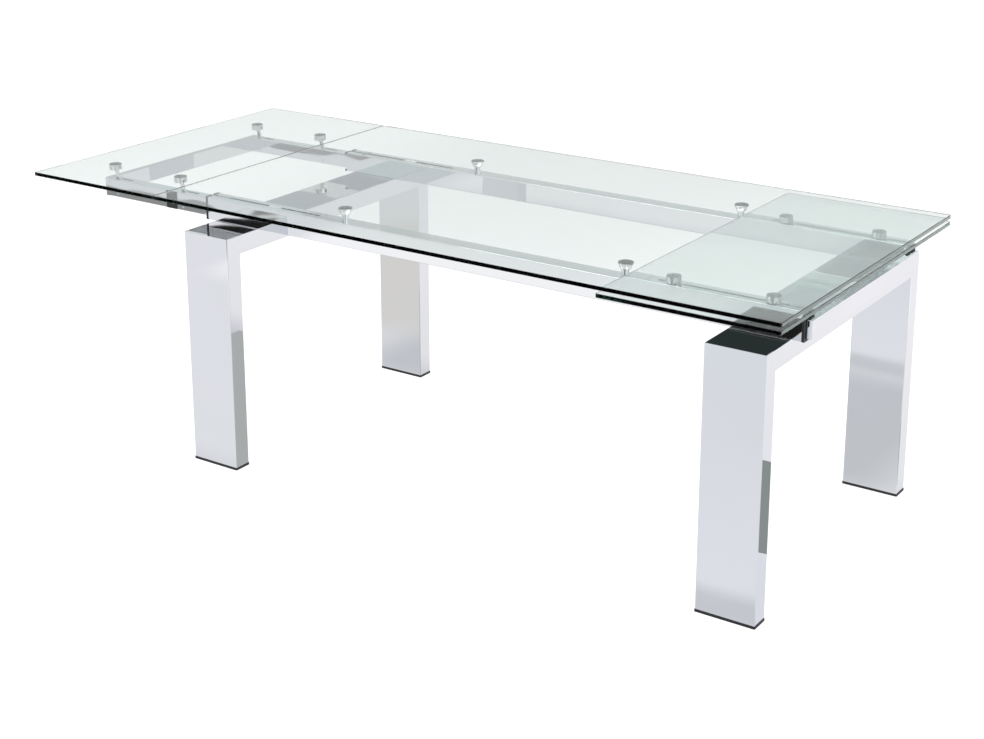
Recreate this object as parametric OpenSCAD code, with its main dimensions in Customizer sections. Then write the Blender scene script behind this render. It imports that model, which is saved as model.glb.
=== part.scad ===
// Extendable glass dining table on two chrome leg frames.
// Two hollow rails carry the main glass on four stand-offs. A carriage slides in each pair of rail
// ends and carries one extension leaf on four swinging arms. A raised leaf locks over centre on
// its arms, level with the main glass; swung inward it drops, so that it slides in under it.
// The left leaf is out and raised. The right leaf is in and lowered.
// Millimetres, +Z up, X along the table. The origin is on the floor under the middle of the whole
// top. Inside each module X counts outward from the middle between the leg frames.

/* [Glass top] */
// Length of the main glass
main_l = 1800; // [1760:10:1860]
// Width of the main glass and of both leaves
top_w = 1000; // [900:10:1100]
// Thickness of every pane
glass_t = 10; // [8:1:12]
// Height of the top surface above the floor
top_h = 750; // [740:1:770]
// Length of one extension leaf
leaf_l = 450; // [430:5:460]
// Gap between a raised leaf and the main glass
seam = 1; // [0.5:0.5:2]
// Radius of the panes' corners in plan
pane_corner_r = 4; // [2:1:8]
// Thickness of the adhesive disc on each metal head
bond_t = 0.8; // [0.5:0.1:1]

/* [Leg frames] */
// Leg tube width along the table
leg_w = 150; // [140:5:160]
// Leg tube depth across the table
leg_d = 50; // [46:1:54]
// Distance from the middle to the centre of each leg frame
leg_x = 770; // [740:5:780]
// Distance from the middle to the outer face of each leg
leg_y = 445; // [420:5:460]
// Height of the top face of a leg frame
frame_top = 650; // [645:1:652]
// Wall thickness of the leg frame tube
leg_wall = 2.5; // [2:0.5:3]
// Outer corner radius of the leg frame tube
leg_r = 2; // [1:0.5:2]
// Foot pad thickness under the tube
foot_t = 6; // [4:1:10]
// Foot pad overhang past the tube
foot_lip = 1.5; // [0.5:0.5:3]
// Height of the foot pad's plug inside the tube
foot_plug = 22; // [10:1:40]

/* [Main rails] */
// Distance from the middle to each rail's centre line
rail_y = 300; // [280:5:320]
// Rail width
rail_w = 50; // [48:1:54]
// Rail height
rail_h = 55; // [54:1:56]
// Rail wall thickness
rail_wall = 3; // [3:0.5:3]
// Half the length of a rail, without its collars
rail_half = 870; // [860:5:875]
// Outer corner radius of every rail
rail_r = 2; // [1:0.5:2.5]
// Width of the slot in the rail's roof that the arms stand in
slot_w = 9; // [8:0.5:10]
// Where the roof slot starts, from the middle
slot_start = 500; // [480:5:500]
// Thickness of the black collar on each rail end
collar_t = 6; // [4:1:6]
// How far a collar stands proud of its rail
collar_lip = 1; // [0.5:0.5:2]

/* [Stand-offs] */
// Distance from the middle to the stand-offs of the main glass
standoff_x = 414; // [400:1:420]
// Radius of a stand-off post
post_r = 10; // [8:0.5:12]
// Radius of the disc that the glass is bonded to
disc_r = 19; // [17:0.5:21]
// Thickness of that disc
disc_t = 3; // [2:0.5:4]
// Height of the cone under the disc
cone_h = 12; // [9:1:14]
// Radius of the cone's lower end
cone_r = 12; // [10.5:0.5:13]

/* [Carriages] */
// Carriage tube width
tube_w = 34; // [32:1:35]
// Carriage tube height
tube_h = 43; // [43:1:43]
// Carriage tube wall thickness
tube_wall = 2.5; // [2:0.5:2.5]
// Length of a carriage, from the end bar's outer face to its inner end
carriage_l = 630; // [600:10:640]
// Thickness of the end bar along the table
end_bar_t = 19; // [16:1:19]
// Radius of the end bar's upright outer corners
end_bar_r = 6; // [3:1:8]
// Distance from the outer arm's lower pivot to the carriage's outer face
pivot_inset = 50.2; // [50.2:0.1:50.2]
// Length of the glide shoe on the inner end of a carriage tube
shoe_l = 40; // [30:1:40]
// Running gap between the glide shoe and the rail
shoe_gap = 0.15; // [0.1:0.05:0.3]

/* [Lift arms and heads] */
// Distance between an arm's two pivots
arm_len = 68.7; // [68.7:0.1:68.7]
// Outward lean of the arms from upright when the leaf is raised
raised_lean = 18; // [18:1:18]
// Inward lean of the arms from upright when the leaf is lowered
lowered_lean = 46.4; // [46.4:0.1:46.4]
// Arm width
arm_w = 10; // [8:0.5:10]
// Arm thickness
arm_t = 6; // [5:0.5:6]
// Radius of every pivot pin
pin_r = 3; // [2.5:0.25:3]
// Running clearance round a pin, on the radius
pin_gap = 0.05; // [0.02:0.01:0.08]
// Distance from a leaf's outer end to its outer heads
head_inset = 110; // [105:1:115]
// Distance between a leaf's outer and inner heads
head_pitch = 250; // [240:5:255]
// Radius of a head
head_r = 18; // [17:0.5:19]
// Height of a head
head_h = 15; // [14:0.5:15]
// Width of the slot in a head
head_slot_w = 7; // [6.5:0.5:8]
// Thickness of the head's roof above its slot
head_roof = 2; // [2:0.5:2]

/* [Hidden] */
$fn = 48;

LEFT = -1;
RIGHT = 1;
NEAR = -1;
FAR = 1;
glass_tint = [0.80, 0.92, 0.88, 0.35];
chrome = [0.84, 0.85, 0.88];
steel = [0.62, 0.63, 0.66];
black = [0.06, 0.06, 0.07];
nylon = [0.90, 0.90, 0.87];
eps = 1;

// The origin lies under the middle of the top with one leaf out
row_x = (leaf_l + seam) / 2;
glass_z = top_h - glass_t;
rail_top = frame_top + rail_h;
rail_floor = frame_top + rail_wall;
rail_roof = rail_top - rail_wall;
rail_in_half = rail_w / 2 - rail_wall;

// Arm geometry: heights and outward shifts of the upper pivot
raised_pivot_z = glass_z - bond_t - head_h / 2;
lower_pivot_z = raised_pivot_z - arm_len * cos(raised_lean);
lowering = arm_len * (cos(raised_lean) - cos(lowered_lean));
tube_top = rail_roof - 2.5;
tube_bottom = tube_top - tube_h;
// How far a carriage moves out while its leaf drops, so that the leaf stays clear of the main glass
drop_travel = arm_len * (raised_lean + lowered_lean) * PI / 180;

// Outer end of each leaf, its lean and its height, by side
function leaf_end(side) = side == LEFT ? main_l / 2 + seam + leaf_l : main_l / 2;
function lean(side) = side == LEFT ? raised_lean : -lowered_lean;
function leaf_z(side) = side == LEFT ? glass_z : glass_z - lowering;
function outer_head_x(side) = leaf_end(side) - head_inset;
function outer_pivot_x(side) = outer_head_x(side) - arm_len * sin(lean(side));
function carriage_end(side) = outer_pivot_x(side) + pivot_inset;

// A rectangle with round corners, centred
module round_rect(w, h, r) {
    square([w - 2 * r, h], center = true);
    square([w, h - 2 * r], center = true);
    for (sx = [-1, 1], sy = [-1, 1])
        translate([sx * (w / 2 - r), sy * (h / 2 - r)])
            circle(r);
}

// The section of a rectangular tube
module tube_section(w, h, r, wall) {
    difference() {
        round_rect(w, h, r);
        square([w - 2 * wall, h - 2 * wall], center = true);
    }
}

// Turns a section in Y and Z into a bar along X
module along_x(from, to) {
    translate([from, 0, 0])
        rotate([90, 0, 90])
            linear_extrude(to - from)
                children();
}

// A box between two corners
module block(low, high) {
    translate(low)
        cube(high - low);
}

// A round bar along Y, centred on y = 0
module bar_y(r, length) {
    rotate([90, 0, 0])
        cylinder(r = r, h = length, center = true);
}

// Puts what is drawn for the right-hand side on either side of the table
module on_side(side) {
    translate([row_x, 0, 0])
        mirror([side == LEFT ? 1 : 0, 0, 0])
            children();
}

// Puts what is drawn at y > 0 on the near or the far side
module on_row(row) {
    mirror([0, row == NEAR ? 1 : 0, 0])
        children();
}

// All four corners of the table
module at_corners() {
    for (side = [LEFT, RIGHT], row = [NEAR, FAR])
        on_side(side)
            on_row(row)
                children();
}

// One pane, from its lower face up
module pane(from, to, z) {
    translate([(from + to) / 2, 0, z])
        linear_extrude(glass_t)
            round_rect(to - from, top_w, pane_corner_r);
}

module main_glass() {
    color(glass_tint)
        translate([row_x, 0, 0])
            pane(-main_l / 2, main_l / 2, glass_z);
}

// The part of a leg frame that a leg fills: up to the mitre at its outer top corner
module leg_side_of_mitre() {
    along_x(leg_x - leg_w, leg_x + leg_w)
        polygon([[leg_y + eps, foot_t], [leg_y + eps, frame_top + eps],
                 [leg_y - leg_d, frame_top - leg_d], [leg_y - leg_d, foot_t]]);
}

module leg(side, row) {
    color(chrome)
        on_side(side)
            on_row(row)
                intersection() {
                    translate([leg_x, leg_y - leg_d / 2, foot_t])
                        linear_extrude(frame_top - foot_t)
                            tube_section(leg_w, leg_d, leg_r, leg_wall);
                    leg_side_of_mitre();
                }
}

// The crossbar between the mitres, with clearance holes for the rail screws
module crossbar(side) {
    half = leg_y - leg_d;
    color(chrome)
        on_side(side)
            difference() {
                intersection() {
                    translate([leg_x, 0, frame_top - leg_d / 2])
                        rotate([90, 0, 0])
                            linear_extrude(2 * leg_y, center = true)
                                tube_section(leg_w, leg_d, leg_r, leg_wall);
                    along_x(leg_x - leg_w, leg_x + leg_w)
                        polygon([[-leg_y - eps, frame_top + eps], [leg_y + eps, frame_top + eps],
                                 [half, frame_top - leg_d], [-half, frame_top - leg_d]]);
                }
                for (row = [NEAR, FAR])
                    on_row(row)
                        screw_places()
                            translate([0, 0, frame_top - leg_wall - eps])
                                cylinder(r = screw_r + pin_gap, h = leg_wall + 2 * eps);
            }
}

module foot_pads() {
    plug_w = leg_w - 2 * leg_wall - 1;
    plug_d = leg_d - 2 * leg_wall - 1;
    color(black)
        at_corners()
            translate([leg_x, leg_y - leg_d / 2, 0]) {
                linear_extrude(foot_t)
                    round_rect(leg_w + 2 * foot_lip, leg_d + 2 * foot_lip, leg_r + foot_lip);
                translate([-plug_w / 2, -plug_d / 2, foot_t])
                    cube([plug_w, plug_d, foot_plug]);
            }
}

// Screws that hold a rail down on a crossbar
screw_r = 2.5;
screw_head_r = 5;
screw_l = 14;
screw_spread = 40;
module screw_places() {
    for (shift = [-screw_spread, screw_spread])
        translate([leg_x + shift, rail_y, 0])
            children();
}

// A countersunk screw, drawn down from z = 0 at its head
module countersunk(gap) {
    sink = screw_head_r - screw_r;
    translate([0, 0, -sink])
        cylinder(r1 = screw_r + gap, r2 = screw_head_r + gap, h = sink);
    translate([0, 0, -screw_l])
        cylinder(r = screw_r + gap, h = screw_l - sink + 0.01);
}

module rail_screws() {
    color(steel)
        at_corners()
            screw_places()
                translate([0, 0, rail_floor])
                    countersunk(0);
}

// What both ends of a rail have: the roof slot, the stud hole and the screw holes
module rail_cuts() {
    block([slot_start, rail_y - slot_w / 2, rail_roof - eps],
          [rail_half + eps, rail_y + slot_w / 2, rail_top + eps]);
    translate([standoff_x, rail_y, rail_roof - eps])
        cylinder(r = stud_r + pin_gap, h = rail_wall + 2 * eps);
    screw_places()
        translate([0, 0, rail_floor])
            countersunk(pin_gap);
}

module main_rail(row) {
    color(chrome)
        translate([row_x, 0, 0])
            on_row(row)
                difference() {
                    translate([0, rail_y, frame_top + rail_h / 2])
                        along_x(-rail_half, rail_half)
                            tube_section(rail_w, rail_h, rail_r, rail_wall);
                    rail_cuts();
                    mirror([1, 0, 0])
                        rail_cuts();
                }
}

// The black collar that guides the carriage out of a rail's end. It is open towards the
// middle of the table, where the end bar nests, and slotted at the top for the arms.
collar_gap = 1;
module rail_end_collars() {
    out = rail_w / 2 + collar_lip;
    color(black)
        at_corners()
            difference() {
                translate([0, rail_y, frame_top + rail_h / 2])
                    along_x(rail_half, rail_half + collar_t)
                        round_rect(2 * out, rail_h + 2 * collar_lip, rail_r + collar_lip);
                block([rail_half - eps, rail_y - out - eps, tube_bottom - collar_gap],
                      [rail_half + collar_t + eps, rail_y + tube_w / 2 + guide_pad_t + collar_gap,
                       tube_top + collar_gap]);
                block([rail_half - eps, rail_y - slot_w / 2, tube_top],
                      [rail_half + collar_t + eps, rail_y + slot_w / 2, rail_top + collar_lip + eps]);
            }
}

// Nylon bush just inside each rail end, under, beside and over the carriage tube
bush_l = 46;
bush_gap = 0.1;
module rail_end_bushes() {
    x0 = rail_half - 2 - bush_l;
    y_out = rail_y + rail_in_half;
    color(nylon)
        at_corners()
            along_x(x0, x0 + bush_l)
                polygon([
                    [rail_y - tube_w / 2, rail_floor],
                    [y_out, rail_floor],
                    [y_out, rail_roof],
                    [rail_y + slot_w / 2 + 1, rail_roof],
                    [rail_y + slot_w / 2 + 1, tube_top + bush_gap],
                    [rail_y + tube_w / 2 + guide_pad_t + bush_gap, tube_top + bush_gap],
                    [rail_y + tube_w / 2 + guide_pad_t + bush_gap, tube_bottom - bush_gap],
                    [rail_y - tube_w / 2, tube_bottom - bush_gap]
                ]);
}

// Stop on each rail's floor, which the glide shoe meets when the carriage is right out
stop_l = 12;
stop_w = 20;
module rail_stops() {
    x0 = carriage_end(LEFT) - carriage_l + shoe_l + drop_travel + 0.5;
    color(steel)
        at_corners()
            block([x0, rail_y - stop_w / 2, rail_floor],
                  [x0 + stop_l, rail_y + stop_w / 2, tube_bottom - 0.3]);
}

// Stand-offs of the main glass: post with a threaded stud, and a cone and disc on top of it
stud_r = 4;
cap_z = glass_z - bond_t - disc_t - cone_h;
module main_standoff_posts() {
    color(chrome)
        at_corners()
            translate([standoff_x, rail_y, 0]) {
                translate([0, 0, rail_top])
                    cylinder(r = post_r, h = cap_z - rail_top);
                translate([0, 0, rail_roof + 0.2])
                    cylinder(r = stud_r, h = rail_wall);
            }
}

module main_standoff_caps() {
    color(chrome)
        at_corners()
            translate([standoff_x, rail_y, cap_z]) {
                cylinder(r1 = cone_r, r2 = disc_r - 0.5, h = cone_h);
                translate([0, 0, cone_h])
                    cylinder(r = disc_r, h = disc_t);
            }
}

module main_bond_pads() {
    color(glass_tint)
        at_corners()
            translate([standoff_x, rail_y, glass_z - bond_t])
                cylinder(r = disc_r - 1, h = bond_t);
}

// One sliding tube of a carriage, slotted for each arm's swing and drilled for the arm's pin
arm_sweep_in = 45;
arm_sweep_out = 19;
module carriage_rail(side, row) {
    outer = carriage_end(side);
    color(chrome)
        on_side(side)
            on_row(row)
                difference() {
                    translate([0, rail_y, tube_bottom + tube_h / 2])
                        along_x(outer - carriage_l, outer - end_bar_t)
                            tube_section(tube_w, tube_h, rail_r, tube_wall);
                    for (x = [outer_pivot_x(side), outer_pivot_x(side) - head_pitch]) {
                        block([x - arm_sweep_in, rail_y - head_slot_w / 2, tube_top - tube_wall - eps],
                              [x + arm_sweep_out, rail_y + head_slot_w / 2, tube_top + eps]);
                        translate([x, rail_y, lower_pivot_z])
                            bar_y(pin_r + pin_gap, tube_w + 2 * eps);
                    }
                }
}

// The outline of the end bar in plan, round at its upright outer corners
module end_bar_plan(inner, outer, half) {
    bulge = outer - end_bar_r;
    translate([inner, -half])
        square([bulge - inner, 2 * half]);
    translate([inner, -half + end_bar_r])
        square([outer - inner, 2 * (half - end_bar_r)]);
    for (y = [-half + end_bar_r, half - end_bar_r])
        translate([bulge, y])
            circle(end_bar_r);
}

// The tube across the carriage's outer end, open where the two sliding tubes meet it
module carriage_end_bar(side) {
    outer = carriage_end(side);
    inner = outer - end_bar_t;
    half = rail_y + tube_w / 2;
    color(chrome)
        on_side(side)
            difference() {
                translate([0, 0, tube_bottom])
                    linear_extrude(tube_h)
                        end_bar_plan(inner, outer, half);
                block([inner + tube_wall, -half + tube_wall, tube_bottom + tube_wall],
                      [outer - tube_wall, half - tube_wall, tube_top - tube_wall]);
                for (row = [NEAR, FAR])
                    on_row(row)
                        block([inner - eps, rail_y - tube_w / 2 + tube_wall, tube_bottom + tube_wall],
                              [inner + tube_wall + eps, rail_y + tube_w / 2 - tube_wall,
                               tube_top - tube_wall]);
            }
}

// Nylon shoe round the inner end of each carriage tube
module glide_shoes(side) {
    inner = carriage_end(side) - carriage_l;
    w = 2 * (rail_in_half - shoe_gap);
    h = rail_h - 2 * rail_wall - 2 * shoe_gap;
    color(nylon)
        on_side(side)
            for (row = [NEAR, FAR])
                on_row(row)
                    difference() {
                        translate([0, rail_y, frame_top + rail_h / 2])
                            along_x(inner, inner + shoe_l)
                                square([w, h], center = true);
                        block([inner - eps, rail_y - tube_w / 2, tube_bottom],
                              [inner + shoe_l + eps, rail_y + tube_w / 2, tube_top]);
                    }
}

// Black guide pad on the outer face of each carriage tube
guide_pad_t = 1.5;
guide_pad_l = 38;
guide_pad_inset = 240;
module guide_pads(side) {
    x1 = carriage_end(side) - guide_pad_inset;
    color(black)
        on_side(side)
            for (row = [NEAR, FAR])
                on_row(row)
                    block([x1 - guide_pad_l, rail_y + tube_w / 2, tube_bottom + 1],
                          [x1, rail_y + tube_w / 2 + guide_pad_t, tube_top - 1]);
}

// Lower pivot pins, across the carriage tubes
module lower_pins(side) {
    color(steel)
        on_side(side)
            for (row = [NEAR, FAR], back = [0, head_pitch])
                translate([outer_pivot_x(side) - back, row * rail_y, lower_pivot_z])
                    bar_y(pin_r, tube_w);
}

// One swinging arm: a flat bar with round ends. Its lean is outward from the lower pivot.
module arm(side) {
    rotate([0, lean(side), 0])
        difference() {
            union() {
                bar_y(arm_w / 2, arm_t);
                translate([0, 0, arm_len])
                    bar_y(arm_w / 2, arm_t);
                translate([-arm_w / 2, -arm_t / 2, 0])
                    cube([arm_w, arm_t, arm_len]);
            }
            bar_y(pin_r + pin_gap, arm_t + 2 * eps);
            translate([0, 0, arm_len])
                bar_y(pin_r + pin_gap, arm_t + 2 * eps);
        }
}

// The near and far arms of one pair, back from the outer pivot
module arm_pair(side, back) {
    color(chrome)
        on_side(side)
            for (row = [NEAR, FAR])
                translate([outer_pivot_x(side) - back, row * rail_y, lower_pivot_z])
                    arm(side);
}

module leaf_glass(side) {
    color(glass_tint)
        on_side(side)
            pane(leaf_end(side) - leaf_l, leaf_end(side), leaf_z(side));
}

// Places the four heads of a leaf, with z = 0 on the leaf's lower face
module head_places(side) {
    on_side(side)
        for (row = [NEAR, FAR], back = [0, head_pitch])
            translate([outer_head_x(side) - back, row * rail_y, leaf_z(side)])
                children();
}

// A round head with a slot along the table for the arm and a bore across it for the pin
module leaf_heads(side) {
    color(chrome)
        head_places(side)
            translate([0, 0, -bond_t - head_h])
                difference() {
                    cylinder(r = head_r, h = head_h);
                    block([-head_r - eps, -head_slot_w / 2, -eps],
                          [head_r + eps, head_slot_w / 2, head_h - head_roof]);
                    translate([0, 0, head_h / 2])
                        bar_y(pin_r + pin_gap, 2 * head_r + 2 * eps);
                }
}

module upper_pins(side) {
    color(steel)
        head_places(side)
            translate([0, 0, -bond_t - head_h / 2])
                bar_y(pin_r, 2 * head_r - 4);
}

module leaf_bond_pads(side) {
    color(glass_tint)
        head_places(side)
            translate([0, 0, -bond_t])
                cylinder(r = head_r - 1, h = bond_t);
}

main_glass();
leg(LEFT, NEAR);  // left_near_leg
leg(LEFT, FAR);  // left_far_leg
crossbar(LEFT);  // left_crossbar
leg(RIGHT, NEAR);  // right_near_leg
leg(RIGHT, FAR);  // right_far_leg
crossbar(RIGHT);  // right_crossbar
foot_pads();
main_rail(NEAR);  // near_main_rail
main_rail(FAR);  // far_main_rail
rail_end_collars();
rail_end_bushes();
rail_stops();
rail_screws();
main_standoff_posts();
main_standoff_caps();
main_bond_pads();
carriage_rail(LEFT, NEAR);  // left_carriage_near_rail
carriage_rail(LEFT, FAR);  // left_carriage_far_rail
carriage_end_bar(LEFT);  // left_carriage_end_bar
glide_shoes(LEFT);  // left_glide_shoes
guide_pads(LEFT);  // left_guide_pads
lower_pins(LEFT);  // left_lower_pins
arm_pair(LEFT, 0);  // left_outer_arms
arm_pair(LEFT, head_pitch);  // left_inner_arms
leaf_glass(LEFT);  // left_leaf_glass
leaf_heads(LEFT);  // left_leaf_heads
upper_pins(LEFT);  // left_upper_pins
leaf_bond_pads(LEFT);  // left_leaf_bond_pads
carriage_rail(RIGHT, NEAR);  // right_carriage_near_rail
carriage_rail(RIGHT, FAR);  // right_carriage_far_rail
carriage_end_bar(RIGHT);  // right_carriage_end_bar
glide_shoes(RIGHT);  // right_glide_shoes
guide_pads(RIGHT);  // right_guide_pads
lower_pins(RIGHT);  // right_lower_pins
arm_pair(RIGHT, 0);  // right_outer_arms
arm_pair(RIGHT, head_pitch);  // right_inner_arms
leaf_glass(RIGHT);  // right_leaf_glass
leaf_heads(RIGHT);  // right_leaf_heads
upper_pins(RIGHT);  // right_upper_pins
leaf_bond_pads(RIGHT);  // right_leaf_bond_pads
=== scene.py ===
"""Looks for the extendable glass and chrome dining table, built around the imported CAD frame."""
import math

import bmesh
import bpy
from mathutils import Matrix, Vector


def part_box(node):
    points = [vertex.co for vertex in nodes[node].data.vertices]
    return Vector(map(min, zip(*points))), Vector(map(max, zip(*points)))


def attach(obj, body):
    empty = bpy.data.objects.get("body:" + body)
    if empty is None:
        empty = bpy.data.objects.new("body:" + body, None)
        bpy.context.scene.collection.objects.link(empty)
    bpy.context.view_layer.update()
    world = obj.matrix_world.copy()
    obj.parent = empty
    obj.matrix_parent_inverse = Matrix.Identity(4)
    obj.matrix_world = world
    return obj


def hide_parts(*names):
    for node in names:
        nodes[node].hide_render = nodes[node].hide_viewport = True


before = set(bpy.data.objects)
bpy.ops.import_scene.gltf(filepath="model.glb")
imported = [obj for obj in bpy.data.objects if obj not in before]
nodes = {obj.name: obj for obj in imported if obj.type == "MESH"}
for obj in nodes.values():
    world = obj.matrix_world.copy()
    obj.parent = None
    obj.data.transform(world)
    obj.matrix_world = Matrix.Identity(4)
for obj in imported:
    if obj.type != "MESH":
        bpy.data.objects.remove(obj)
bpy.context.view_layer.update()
scene = bpy.context.scene

# ---------------------------------------------------------------------------
# Camera and view
# ---------------------------------------------------------------------------
CAMERA_PLACE = (2.5581, -3.6931, 1.9607)
CAMERA_YAW = math.radians(34.043)
CAMERA_PITCH = math.radians(15.970)
SENSOR_WIDTH = 36.0
FOCAL_LENGTH = 64.365
SHIFT_Y = -0.1524

camera_data = bpy.data.cameras.new("studio_camera")
camera_data.sensor_fit = "HORIZONTAL"
camera_data.sensor_width = SENSOR_WIDTH
camera_data.lens = FOCAL_LENGTH
camera_data.shift_y = SHIFT_Y
camera_data.clip_start = 0.05
camera_data.clip_end = 100.0
camera = bpy.data.objects.new("studio_camera", camera_data)
camera.location = CAMERA_PLACE
camera.rotation_euler = (math.pi / 2 - CAMERA_PITCH, 0.0, CAMERA_YAW)
scene.collection.objects.link(camera)
scene.camera = camera
scene.view_settings.view_transform = "Standard"
scene.view_settings.look = "None"


# ---------------------------------------------------------------------------
# Node helpers
# ---------------------------------------------------------------------------
class Tree:
    """A small wrapper that makes and links shader nodes."""

    def __init__(self, tree):
        self.tree = tree
        tree.nodes.clear()

    def add(self, kind, settings=None, **inputs):
        """A node of that kind. Inputs are constants, or sockets to link from."""
        made = self.tree.nodes.new(kind)
        for key, value in (settings or {}).items():
            setattr(made, key, value)
        for key, value in inputs.items():
            self.put(made, key, value)
        return made

    def put(self, made, key, value):
        """Sets or links one input, named by its label with underscores, or by i and its number."""
        if key[0] == "i" and key[1:].isdigit():
            socket = made.inputs[int(key[1:])]
        else:
            socket = made.inputs[key.replace("_", " ")]
        if isinstance(value, bpy.types.NodeSocket):
            self.tree.links.new(value, socket)
        else:
            socket.default_value = value

    def coords(self, scale=(1.0, 1.0, 1.0), turn=(0.0, 0.0, 0.0)):
        """Object coordinates, stretched and turned."""
        source = self.add("ShaderNodeTexCoord").outputs["Object"]
        mapped = self.add("ShaderNodeMapping", i0=source, i2=turn, i3=scale)
        return mapped.outputs[0]

    def noise(self, where, scale, detail=3.0, rough=0.55):
        """Fractal noise from 0 to 1."""
        made = self.add("ShaderNodeTexNoise", Vector=where, Scale=scale, Detail=detail, Roughness=rough)
        return made.outputs[0]

    def span(self, value, low, high, to_low, to_high, smooth=False):
        """Maps low..high to to_low..to_high, held at both ends."""
        kind = "SMOOTHSTEP" if smooth else "LINEAR"
        made = self.add(
            "ShaderNodeMapRange",
            {"interpolation_type": kind, "clamp": True},
            i0=value, i1=low, i2=high, i3=to_low, i4=to_high,
        )
        return made.outputs[0]

    def math(self, operation, first, second=0.0):
        """One arithmetic step."""
        made = self.add("ShaderNodeMath", {"operation": operation}, i0=first, i1=second)
        return made.outputs[0]

    def mix(self, factor, first, second):
        """A mix of two colours."""
        made = self.add("ShaderNodeMix", {"data_type": "RGBA"}, i0=factor)
        self.put(made, "i6", first)
        self.put(made, "i7", second)
        return made.outputs[2]

    def bump(self, height, distance, normal=None):
        """A bump from a height, in metres of relief at full height."""
        made = self.add("ShaderNodeBump", Strength=1.0, Distance=distance, Height=height)
        if normal is not None:
            self.put(made, "Normal", normal)
        return made.outputs[0]

    def edge_wear(self, radius, low=0.02, high=0.25):
        """1 along sharp or tightly rounded edges and 0 elsewhere."""
        rounded = self.add("ShaderNodeBevel", {"samples": 6}, Radius=radius).outputs[0]
        true_normal = self.add("ShaderNodeNewGeometry").outputs["True Normal"]
        made = self.add("ShaderNodeVectorMath", {"operation": "DOT_PRODUCT"}, i0=rounded, i1=true_normal)
        away = self.math("SUBTRACT", 1.0, made.outputs["Value"])
        return self.span(away, low, high, 0.0, 1.0)


def new_material(name):
    """A material with one Principled shader, and its tree wrapper."""
    material = bpy.data.materials.new(name)
    material.use_nodes = True
    tree = Tree(material.node_tree)
    shader = tree.add("ShaderNodeBsdfPrincipled")
    output = tree.add("ShaderNodeOutputMaterial", Surface=shader.outputs[0])
    return material, tree, shader, output


# ---------------------------------------------------------------------------
# Materials
# ---------------------------------------------------------------------------
def make_chrome():
    """Mirror chrome on steel tube: faint ripple, polishing haze, and duller edges."""
    material, t, shader, _ = new_material("mirror_chrome")
    where = t.coords()
    cloud = t.noise(where, 2.6, 2.0)
    haze = t.noise(where, 14.0, 4.0, 0.6)
    wear = t.edge_wear(0.0016)
    cool = (0.83, 0.84, 0.855, 1.0)
    cooler = (0.85, 0.85, 0.885, 1.0)
    tint = t.mix(t.span(cloud, 0.35, 0.65, 0.0, 1.0), cool, cooler)
    worn = (0.50, 0.51, 0.53, 1.0)
    t.put(shader, "Base Color", t.mix(t.math("MULTIPLY", wear, 0.45), tint, worn))
    shader.inputs["Metallic"].default_value = 1.0
    smooth_part = t.span(haze, 0.35, 0.75, 0.008, 0.035)
    t.put(shader, "Roughness", t.math("ADD", smooth_part, t.math("MULTIPLY", wear, 0.14)))
    ripple = t.bump(t.noise(where, 4.5, 1.0, 0.4), 0.0014)
    grain = t.noise(t.coords((220.0, 220.0, 16.0)), 1.0, 3.0)
    t.put(shader, "Normal", t.bump(grain, 0.0000015, ripple))
    return material


def make_polished_fittings():
    """Turned and polished steel, with fine rings round the vertical axis."""
    material, t, shader, _ = new_material("polished_turned_steel")
    rings = t.noise(t.coords((30.0, 30.0, 2600.0)), 1.0, 3.0)
    patches = t.noise(t.coords(), 90.0, 3.0)
    wear = t.edge_wear(0.0009)
    groove = (0.82, 0.83, 0.83, 1.0)
    ridge = (0.93, 0.94, 0.94, 1.0)
    worn = (0.97, 0.97, 0.97, 1.0)
    tint = t.mix(t.span(rings, 0.3, 0.7, 0.0, 1.0), groove, ridge)
    t.put(shader, "Base Color", t.mix(t.math("MULTIPLY", wear, 0.4), tint, worn))
    shader.inputs["Metallic"].default_value = 1.0
    t.put(shader, "Roughness", t.span(patches, 0.3, 0.7, 0.03, 0.09))
    t.put(shader, "Normal", t.bump(rings, 0.000006))
    return material


def make_plain_steel():
    """Plain bright steel of the screws, pins and stops, lightly brushed."""
    material, t, shader, _ = new_material("plain_bright_steel")
    brushed = t.noise(t.coords((60.0, 900.0, 900.0)), 1.0, 4.0)
    patches = t.noise(t.coords(), 60.0, 3.0)
    wear = t.edge_wear(0.0006)
    dull = (0.55, 0.56, 0.58, 1.0)
    bright = (0.68, 0.69, 0.70, 1.0)
    worn = (0.85, 0.85, 0.86, 1.0)
    tint = t.mix(t.span(patches, 0.3, 0.7, 0.0, 1.0), dull, bright)
    t.put(shader, "Base Color", t.mix(t.math("MULTIPLY", wear, 0.5), tint, worn))
    shader.inputs["Metallic"].default_value = 1.0
    t.put(shader, "Roughness", t.span(brushed, 0.3, 0.7, 0.18, 0.34))
    t.put(shader, "Normal", t.bump(brushed, 0.000015))
    return material


def make_black_plastic():
    """Satin moulded black plastic with a spark-eroded grain, paler where edges rub."""
    material, t, shader, _ = new_material("moulded_black_plastic")
    grain = t.noise(t.coords(), 1500.0, 3.0, 0.6)
    patches = t.noise(t.coords(), 35.0, 3.0)
    wear = t.edge_wear(0.0008)
    black = (0.010, 0.010, 0.011, 1.0)
    faded = (0.018, 0.018, 0.020, 1.0)
    rubbed = (0.045, 0.045, 0.048, 1.0)
    tint = t.mix(t.span(patches, 0.3, 0.7, 0.0, 1.0), black, faded)
    t.put(shader, "Base Color", t.mix(t.math("MULTIPLY", wear, 0.6), tint, rubbed))
    t.put(shader, "Roughness", t.span(patches, 0.3, 0.7, 0.42, 0.58))
    t.put(shader, "Normal", t.bump(grain, 0.00008))
    return material


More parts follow.
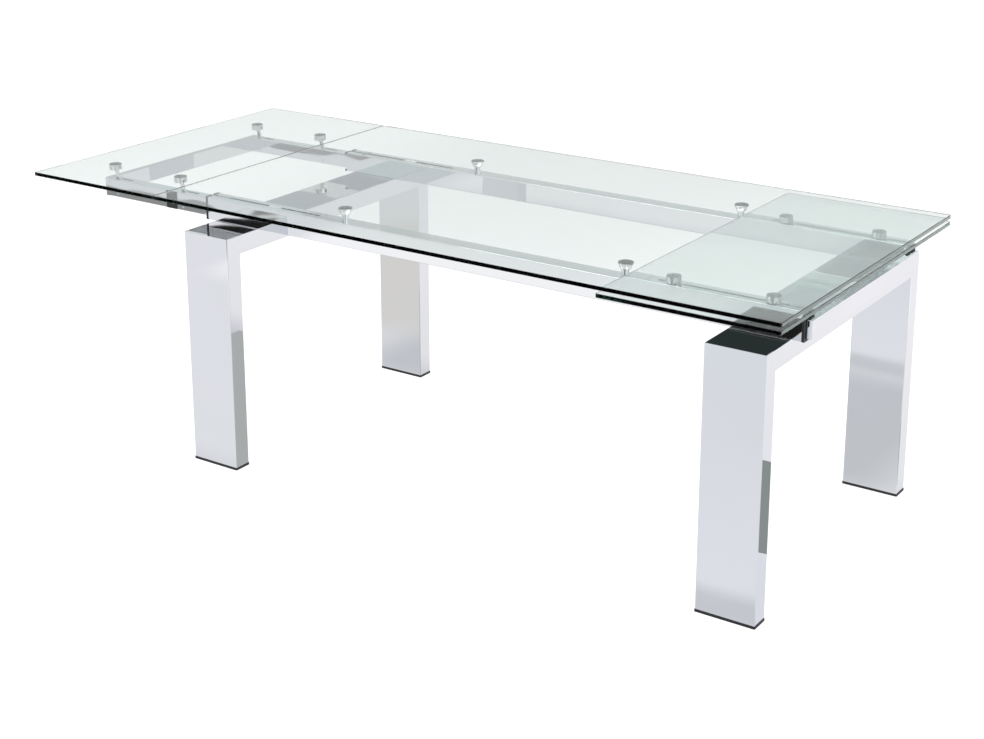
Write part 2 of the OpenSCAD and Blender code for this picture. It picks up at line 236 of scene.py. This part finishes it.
def make_nylon():
    """Natural nylon, slightly waxy, polished where it slides."""
    material, t, shader, _ = new_material("natural_nylon")
    patches = t.noise(t.coords(), 45.0, 3.0)
    grain = t.noise(t.coords(), 700.0, 2.0)
    ivory = (0.74, 0.73, 0.67, 1.0)
    pale = (0.84, 0.83, 0.78, 1.0)
    t.put(shader, "Base Color", t.mix(t.span(patches, 0.3, 0.7, 0.0, 1.0), ivory, pale))
    shader.inputs["Subsurface Weight"].default_value = 0.15
    shader.inputs["Subsurface Scale"].default_value = 0.004
    t.put(shader, "Roughness", t.span(patches, 0.3, 0.7, 0.38, 0.52))
    t.put(shader, "Normal", t.bump(grain, 0.00004))
    return material


def make_adhesive():
    """Clear cured bonding adhesive, with faint streaks."""
    material, t, shader, _ = new_material("clear_bonding_adhesive")
    streaks = t.noise(t.coords(), 160.0, 3.0)
    t.put(shader, "Base Color", t.mix(streaks, (0.93, 0.96, 0.95, 1.0), (0.98, 0.99, 0.985, 1.0)))
    shader.inputs["Transmission Weight"].default_value = 1.0
    shader.inputs["IOR"].default_value = 1.48
    t.put(shader, "Roughness", t.span(streaks, 0.3, 0.7, 0.02, 0.10))
    t.put(shader, "Normal", t.bump(streaks, 0.00003))
    return material


def make_glass():
    """Clear tempered float glass, green through its thickness, with polished edges and roller wave."""
    material, t, shader, output = new_material("clear_float_glass")
    where = t.coords()
    facing = t.add("ShaderNodeSeparateXYZ", i0=t.add("ShaderNodeNewGeometry").outputs["True Normal"])
    upright = t.math("ABSOLUTE", facing.outputs[2])
    edge = t.span(upright, 0.35, 0.9, 1.0, 0.0)
    polish_lines = t.noise(t.coords((3.0, 3.0, 900.0)), 1.0, 2.0)
    film = t.noise(where, 5.0, 4.0, 0.6)
    tint = t.mix(t.span(film, 0.35, 0.65, 0.0, 1.0), (0.990, 0.998, 0.995, 1.0), (1.0, 1.0, 1.0, 1.0))
    t.put(shader, "Base Color", tint)
    shader.inputs["Transmission Weight"].default_value = 1.0
    shader.inputs["IOR"].default_value = 1.52
    face_gloss = t.span(film, 0.5, 0.8, 0.0, 0.012)
    edge_gloss = t.math("MULTIPLY", edge, t.span(polish_lines, 0.3, 0.7, 0.02, 0.07))
    t.put(shader, "Roughness", t.math("ADD", face_gloss, edge_gloss))
    roller = t.noise(t.coords((3.0, 0.4, 1.0)), 1.0, 1.0, 0.3)
    wave = t.bump(roller, 0.00004)
    lines = t.math("MULTIPLY", edge, polish_lines)
    t.put(shader, "Normal", t.bump(lines, 0.000004, wave))
    absorption = t.add("ShaderNodeVolumeAbsorption")
    absorption.inputs["Color"].default_value = (0.42, 0.84, 0.75, 1.0)
    absorption.inputs["Density"].default_value = 9.0
    t.put(output, "Volume", absorption.outputs[0])
    return material


CHROME = make_chrome()
FITTINGS = make_polished_fittings()
STEEL = make_plain_steel()
BLACK_PLASTIC = make_black_plastic()
NYLON = make_nylon()
ADHESIVE = make_adhesive()
GLASS = make_glass()

SLOT_MATERIALS = {
    "chrome": CHROME,
    "polished_fittings": FITTINGS,
    "steel": STEEL,
    "black_plastic": BLACK_PLASTIC,
    "nylon": NYLON,
    "clear_adhesive": ADHESIVE,
    "glass": GLASS,
}


def node_slot(node_object):
    """The record's slot that a CAD node was packed with, from its imported material's name."""
    packed = node_object.data.materials[0].name
    for slot_name in SLOT_MATERIALS:
        if packed == slot_name or packed.startswith(slot_name + "."):
            return slot_name
    raise ValueError(node_object.name + " has the unknown material " + packed)


for cad_object in nodes.values():
    found_slot = node_slot(cad_object)
    for index in range(len(cad_object.data.materials)):
        cad_object.data.materials[index] = SLOT_MATERIALS[found_slot]

# ---------------------------------------------------------------------------
# Glass panes: prisms with round corners and polished arrises
# ---------------------------------------------------------------------------
PANE_CORNER = 0.004
PANE_ARRIS = 0.0011
PANE_LIFT = 0.00005
CORNER_STEPS = 6
ARRIS_STEPS = 3


def outline(low, high, radius):
    """A rounded rectangle's points, counter-clockwise, with the same count for any radius."""
    points = []
    corners = ((high[0], high[1], 0), (low[0], high[1], 1), (low[0], low[1], 2), (high[0], low[1], 3))
    for corner_x, corner_y, quarter in corners:
        sign_x = 1 if corner_x == high[0] else -1
        sign_y = 1 if corner_y == high[1] else -1
        centre_x = corner_x - sign_x * radius
        centre_y = corner_y - sign_y * radius
        for step in range(CORNER_STEPS + 1):
            angle = math.radians(90.0 * (quarter + step / CORNER_STEPS))
            points.append((centre_x + radius * math.cos(angle), centre_y + radius * math.sin(angle)))
    return points


def pane(name, body):
    """A glass pane in place of the CAD node of that name."""
    low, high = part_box(name)
    bottom = low.z + PANE_LIFT
    levels = []
    for step in range(ARRIS_STEPS + 1):
        angle = math.radians(90.0 * step / ARRIS_STEPS)
        inset = PANE_ARRIS * (1.0 - math.sin(angle))
        rise = PANE_ARRIS * (1.0 - math.cos(angle))
        levels.append((bottom + rise, inset))
    for rise_z, inset in reversed(list(levels)):
        levels.append((bottom + high.z - rise_z, inset))
    mesh = bpy.data.meshes.new(name + "_polished")
    work = bmesh.new()
    rings = []
    for level_z, inset in levels:
        inner_low = (low.x + inset, low.y + inset)
        inner_high = (high.x - inset, high.y - inset)
        around = outline(inner_low, inner_high, PANE_CORNER - inset)
        rings.append([work.verts.new((x, y, level_z)) for x, y in around])
    count = len(rings[0])
    for lower, upper in zip(rings, rings[1:]):
        for index in range(count):
            after = (index + 1) % count
            work.faces.new((lower[index], lower[after], upper[after], upper[index]))
    work.faces.new(list(reversed(rings[0])))
    work.faces.new(rings[-1])
    bmesh.ops.recalc_face_normals(work, faces=work.faces)
    work.to_mesh(mesh)
    work.free()
    mesh.materials.append(GLASS)
    piece = bpy.data.objects.new(name + "_polished", mesh)
    scene.collection.objects.link(piece)
    piece.visible_shadow = False
    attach(piece, body)
    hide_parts(name)
    return piece


pane("main_glass", "frame")
pane("left_leaf_glass", "left_leaf")
pane("right_leaf_glass", "right_leaf")


# ---------------------------------------------------------------------------
# Turned fittings
# ---------------------------------------------------------------------------
RAIL_Y = 0.3
STANDOFF_X = (-0.1885, 0.6395)
STANDOFF_PLACES = [(x, y) for x in STANDOFF_X for y in (-RAIL_Y, RAIL_Y)]
TURN_STEPS = 64
CREASE = math.radians(28.0)
MM = 0.001


def turned(name, node_name, profile, places):
    """Round solids turned from one profile of radius and height in millimetres, one at each place."""
    mesh = bpy.data.meshes.new(name)
    work = bmesh.new()
    for place_x, place_y in places:
        rings = []
        for radius, height in profile:
            ring = []
            for step in range(TURN_STEPS):
                angle = math.tau * step / TURN_STEPS
                x = place_x + radius * MM * math.cos(angle)
                y = place_y + radius * MM * math.sin(angle)
                ring.append(work.verts.new((x, y, height * MM)))
            rings.append(ring)
        for lower, upper in zip(rings, rings[1:]):
            for step in range(TURN_STEPS):
                after = (step + 1) % TURN_STEPS
                face = work.faces.new((lower[step], lower[after], upper[after], upper[step]))
                face.smooth = True
        work.faces.new(list(reversed(rings[0])))
        work.faces.new(rings[-1])
    bmesh.ops.recalc_face_normals(work, faces=work.faces)
    for edge in work.edges:
        if len(edge.link_faces) == 2 and edge.calc_face_angle() > CREASE:
            edge.smooth = False
    work.to_mesh(mesh)
    work.free()
    mesh.materials.append(FITTINGS)
    piece = bpy.data.objects.new(name, mesh)
    scene.collection.objects.link(piece)
    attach(piece, "frame")
    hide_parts(node_name)
    return piece


POST_PROFILE = [
    (3.7, 702.2), (4.0, 702.6), (4.0, 705.0), (9.7, 705.0), (10.0, 705.3), (10.0, 707.2),
    (9.5, 707.4), (9.5, 707.8), (10.0, 708.0), (10.0, 723.9), (9.7, 724.2),
]
CAP_PROFILE = [
    (11.0, 724.2), (13.2, 724.2), (13.5, 724.5), (13.5, 725.9), (12.4, 726.3), (12.4, 726.9),
    (13.9, 727.2), (15.6, 730.2), (15.2, 730.4), (15.2, 730.9), (16.1, 731.2), (17.7, 734.4),
    (17.3, 734.6), (17.3, 735.1), (18.2, 735.5), (18.5, 736.2), (18.6, 736.3), (19.0, 736.7),
    (19.0, 738.8), (18.6, 739.2),
]
turned("standoff_posts_turned", "main_standoff_posts", POST_PROFILE, STANDOFF_PLACES)
turned("standoff_caps_turned", "main_standoff_caps", CAP_PROFILE, STANDOFF_PLACES)

for head_node in ("left_leaf_heads", "right_leaf_heads"):
    bevel = nodes[head_node].modifiers.new("turned_edge", "BEVEL")
    bevel.width = 0.0003
    bevel.segments = 2
    bevel.limit_method = "ANGLE"
    bevel.angle_limit = math.radians(50.0)
    bevel.harden_normals = False


# ---------------------------------------------------------------------------
# Studio: floor, soft light, and painted reflection cards that only reflections see
# ---------------------------------------------------------------------------
FLOOR_RADIUS = 22.0
FLOOR_RIM_STEPS = 96
WIDE_CARD_HALF = 9.0
WIDE_CARD_LIFT = 0.0006
CARD_LIFT = 0.0012
UNDER_LEAF = 0.7212
UNDER_TOP = 0.7388
WHITE = (1.0, 1.0, 1.0, 1.0)
NEAR_BLACK = (0.012, 0.012, 0.014, 1.0)


def emission_material(name, colour, strength):
    """A plain light-giving card."""
    material = bpy.data.materials.new(name)
    material.use_nodes = True
    t = Tree(material.node_tree)
    glow = t.add("ShaderNodeEmission", Color=colour, Strength=strength)
    t.add("ShaderNodeOutputMaterial", Surface=glow.outputs[0])
    return material, t, glow


def flat_sheet(name, points, height, material):
    """A flat stage sheet with these corners."""
    mesh = bpy.data.meshes.new(name)
    mesh.from_pydata([(x, y, height) for x, y in points], [], [list(range(len(points)))])
    mesh.materials.append(material)
    sheet = bpy.data.objects.new(name, mesh)
    scene.collection.objects.link(sheet)
    return sheet


def reflection_only(sheet):
    """The card shows in polished surfaces, and gives no light and no shadow."""
    sheet.visible_camera = False
    sheet.visible_diffuse = False
    sheet.visible_transmission = False
    sheet.visible_shadow = False


def make_floor():
    """A pale matt floor, white to the eye; to everything else its glow is painted a little brighter
    towards the left and the right, behind the glass.
    """
    material, t, shader, _ = new_material("pale_floor")
    shader.inputs["Base Color"].default_value = (0.2, 0.2, 0.2, 1.0)
    shader.inputs["Roughness"].default_value = 1.0
    shader.inputs["Specular IOR Level"].default_value = 0.0
    shader.inputs["Emission Color"].default_value = WHITE
    along = t.add("ShaderNodeSeparateXYZ", i0=t.coords()).outputs[0]
    # Painted glow: more emission towards the left and the right, seen through the glass and in
    # reflections
    painted_glow_left = t.span(along, -2.8, -1.7, 0.15, 0.0, True)
    painted_glow_right = t.span(along, -0.9, 0.2, 0.0, 0.09, True)
    level = t.math("ADD", 0.85, t.math("ADD", painted_glow_left, painted_glow_right))
    direct = t.add("ShaderNodeLightPath").outputs["Is Camera Ray"]
    t.put(shader, "Emission Strength", t.math("MAXIMUM", level, direct))
    rim = []
    for step in range(FLOOR_RIM_STEPS):
        angle = math.tau * step / FLOOR_RIM_STEPS
        rim.append((FLOOR_RADIUS * math.cos(angle), FLOOR_RADIUS * math.sin(angle)))
    return flat_sheet("studio_floor", rim, 0.0, material)


def box_points(low_x, low_y, high_x, high_y):
    """A rectangle's corners."""
    return [(low_x, low_y), (high_x, low_y), (high_x, high_y), (low_x, high_y)]


def soft_box(t, place, low, high, edge):
    """1 inside a rectangle on the floor and 0 outside, fading over the edge width."""
    inside = None
    for axis in (0, 1):
        middle = (low[axis] + high[axis]) / 2
        half = (high[axis] - low[axis]) / 2
        away = t.math("ABSOLUTE", t.math("SUBTRACT", place.outputs[axis], middle))
        part = t.span(away, half - edge / 2, half + edge / 2, 1.0, 0.0, True)
        inside = part if inside is None else t.math("MULTIPLY", inside, part)
    return inside


def painted_warm_lane(t, place):
    """1 along the lane of floor that the far left leg mirrors, where a warm painted reflection goes,
    fading out at both sides and ends.
    """
    x = place.outputs[0]
    y = place.outputs[1]
    across = t.math("SUBTRACT", t.math("MULTIPLY", x, 0.796), t.math("MULTIPLY", y, 0.605))
    along = t.math("ADD", t.math("MULTIPLY", x, 0.605), t.math("MULTIPLY", y, 0.796))
    left_side = t.span(across, -0.90, -0.79, 0.0, 1.0, True)
    right_side = t.span(across, -0.55, -0.48, 1.0, 0.0, True)
    near_end = t.span(along, -2.50, -2.44, 0.0, 1.0, True)
    far_end = t.span(along, -0.55, -0.25, 1.0, 0.0, True)
    weaker = t.span(along, -1.85, -1.50, 0.35, 1.0, True)
    sides = t.math("MULTIPLY", left_side, right_side)
    ends = t.math("MULTIPLY", far_end, near_end)
    return t.math("MULTIPLY", sides, t.math("MULTIPLY", ends, weaker))


def make_painted_floor_reflection():
    """Painted reflection of the floor for polished surfaces: pale, with painted shadow beneath the
    table, dark in front.
    """
    material, t, glow = emission_material("painted_floor_reflection_card", WHITE, 1.0)
    place = t.add("ShaderNodeSeparateXYZ", i0=t.coords())
    across = t.span(place.outputs[0], -2.2, 2.0, 0.0, 1.0)
    deep = t.span(place.outputs[1], -2.2, 1.6, 0.0, 1.0)
    front = t.mix(across, (0.87, 0.88, 0.91, 1.0), (0.72, 0.76, 0.80, 1.0))
    back = t.mix(across, (0.86, 0.87, 0.88, 1.0), (0.99, 0.98, 1.00, 1.0))
    colour = t.mix(deep, front, back)
    # Painted shadow of the table on the floor, in the reflection
    painted_table_shadow = t.math("MULTIPLY", soft_box(t, place, (-0.75, -0.42), (1.05, 0.45), 0.30), 0.85)
    colour = t.mix(painted_table_shadow, colour, (0.57, 0.59, 0.61, 1.0))
    # Painted shade next to the right end of the table
    painted_side_shade = t.math("MULTIPLY", soft_box(t, place, (0.98, -0.60), (1.40, -0.11), 0.10), 0.9)
    colour = t.mix(painted_side_shade, colour, (0.79, 0.81, 0.86, 1.0))
    # Painted shadow of the glass's near edge, a dark line
    painted_edge_shadow = t.math("MULTIPLY", soft_box(t, place, (0.15, -0.56), (1.15, -0.44), 0.08), 0.55)
    colour = t.mix(painted_edge_shadow, colour, (0.52, 0.54, 0.56, 1.0))
    # A brighter painted strip in front on the left
    strip = soft_box(t, place, (-1.75, -2.5), (0.08, -1.72), 0.20)
    colour = t.mix(strip, colour, (1.05, 1.05, 1.05, 1.0))
    # A warm painted tone along the lane that the far left leg mirrors
    colour = t.mix(painted_warm_lane(t, place), colour, (0.745, 0.735, 0.705, 1.0))
    # Painted black reflection in front of the table
    painted_dark_front = soft_box(t, place, (-8.0, -2.66), (8.0, -2.40), 0.16)
    colour = t.mix(painted_dark_front, colour, NEAR_BLACK)
    t.put(glow, "Color", colour)
    corners = box_points(-WIDE_CARD_HALF, -WIDE_CARD_HALF, WIDE_CARD_HALF, WIDE_CARD_HALF)
    reflection_only(flat_sheet("painted_floor_reflection_card", corners, WIDE_CARD_LIFT, material))


def plain_card(name, points, colour, strength=1.0, height=CARD_LIFT):
    """A level card of one tone, on the floor unless a height is given: a painted reflection, for
    reflections only.
    """
    material, _, _ = emission_material(name, colour, strength)
    reflection_only(flat_sheet(name, points, height, material))


make_floor()
make_painted_floor_reflection()

# Painted reflection of the shade beneath the table, seen in the inner face of the near left leg
grey = (0.46, 0.48, 0.475, 1.0)
plain_card("painted_table_shade_card", box_points(-0.47, -0.45, 0.29, 0.405), grey)

# Painted dark reflection, seen in the outer face of the near right leg
slate = (0.28, 0.31, 0.30, 1.0)
plain_card("painted_dark_side_card", box_points(1.14, -0.10, 1.50, 0.41), slate)

# Painted black reflection, seen in the front edges of the glass, and by way of the glass in the top of
# the left leg frame
black_points = [
    (-7.0, -2.56), (7.0, -2.56), (7.0, -2.335), (-2.30, -2.335), (-2.30, -2.40), (-7.0, -2.40),
]
plain_card("painted_black_front_card", black_points, NEAR_BLACK)

# Painted grey reflection, seen in the lower half of the left carriage's near tube
charcoal = (0.30, 0.30, 0.30, 1.0)
plain_card("painted_grey_left_card", box_points(-7.0, -2.11, -2.28, -1.86), charcoal)

# Painted reflection of the shade beneath the stowed leaf, seen in the top of the right leg frame
leaf_shade = (0.03, 0.04, 0.038, 1.0)
plain_card("painted_leaf_shade_card", box_points(0.80, -0.496, 1.12, -0.334), leaf_shade, 1.0, UNDER_LEAF)

# Painted reflections, one shaded and one pale, seen in the top of the left crossbar, one beyond the
# other
seam_shade = (0.46, 0.49, 0.52, 1.0)
seam_pale = (0.68, 0.75, 0.755, 1.0)
plain_card("painted_seam_shade_card", box_points(-1.0, 0.02, -0.42, 0.272), seam_shade, 1.0, UNDER_TOP)
plain_card("painted_seam_pale_card", box_points(-1.0, -0.25, -0.42, 0.02), seam_pale, 1.0, UNDER_TOP)

# Painted bright reflection, seen in the end edges of the glass on the right
green_white = (0.90, 1.0, 0.975, 1.0)
plain_card("painted_bright_back_card", box_points(1.94, 1.3, 2.2, 3.3), green_white, 2.2)


def make_world():
    """A studio white low down and overhead, grey high up behind, with a dark window in front."""
    world = bpy.data.worlds.new("studio_world")
    world.use_nodes = True
    t = Tree(world.node_tree)
    direction = t.add("ShaderNodeTexCoord").outputs["Generated"]
    parts = t.add("ShaderNodeSeparateXYZ", i0=direction)
    along = parts.outputs[0]
    depth = parts.outputs[1]
    height = parts.outputs[2]
    path = t.add("ShaderNodeLightPath")
    back = t.span(height, 0.05, 0.15, 1.0, 0.60, True)
    strip_height = t.span(along, -0.60, -0.48, 0.268, 0.375, True)
    off_strip = t.math("ABSOLUTE", t.math("SUBTRACT", height, strip_height))
    opaque = t.math("SUBTRACT", 1.0, path.outputs["Is Transmission Ray"])
    strip = t.math("MULTIPLY", t.span(off_strip, 0.002, 0.006, 1.0, 0.015, True), opaque)
    low_part = t.span(height, 0.02, 0.07, 1.0, 0.0, True)
    right_of_window = t.span(along, -0.25, -0.10, 0.0, 1.0, True)
    left_of_window = t.span(along, -0.98, -0.90, 1.0, 0.0, True)
    over_window = t.span(height, 0.44, 0.56, 0.0, 1.0, True)
    under_window = t.span(height, 0.11, 0.17, 1.0, 0.0, True)
    sides = t.math("MAXIMUM", right_of_window, left_of_window)
    levels = t.math("MAXIMUM", over_window, under_window)
    gloss_level = t.math("MULTIPLY", path.outputs["Is Glossy Ray"], 0.8)
    pale = t.math("MULTIPLY", t.math("MAXIMUM", sides, levels), gloss_level)
    front = t.math("MAXIMUM", t.math("MAXIMUM", low_part, strip), pale)
    side = t.span(depth, -0.35, 0.15, 0.0, 1.0, True)
    from_back = t.math("MULTIPLY", back, side)
    from_front = t.math("MULTIPLY", front, t.math("SUBTRACT", 1.0, side))
    overhead = t.span(height, 0.62, 0.80, 0.0, 1.0, True)
    level = t.math("ADD", t.math("ADD", from_back, from_front), overhead)
    seen = t.math("MAXIMUM", level, path.outputs["Is Camera Ray"])
    light = t.add("ShaderNodeBackground", Color=WHITE, Strength=seen)
    t.add("ShaderNodeOutputWorld", Surface=light.outputs[0])
    scene.world = world


make_world()


def area_light(name, place, aim, size, power):
    """A soft rectangular lamp."""
    data = bpy.data.lights.new(name, "AREA")
    data.shape = "RECTANGLE"
    data.size = size[0]
    data.size_y = size[1]
    data.energy = power
    lamp = bpy.data.objects.new(name, data)
    lamp.location = place
    lamp.rotation_euler = (Vector(aim) - Vector(place)).to_track_quat("-Z", "Y").to_euler()
    scene.collection.objects.link(lamp)
    return lamp


area_light("overhead_softbox", (0.0, 0.4, 3.6), (0.0, 0.0, 0.7), (3.6, 2.4), 60.0)
area_light("right_softbox", (4.2, -1.0, 2.8), (0.0, 0.0, 0.5), (1.8, 1.8), 20.0)

scene.cycles.max_bounces = 16
scene.cycles.transmission_bounces = 16
scene.cycles.glossy_bounces = 8
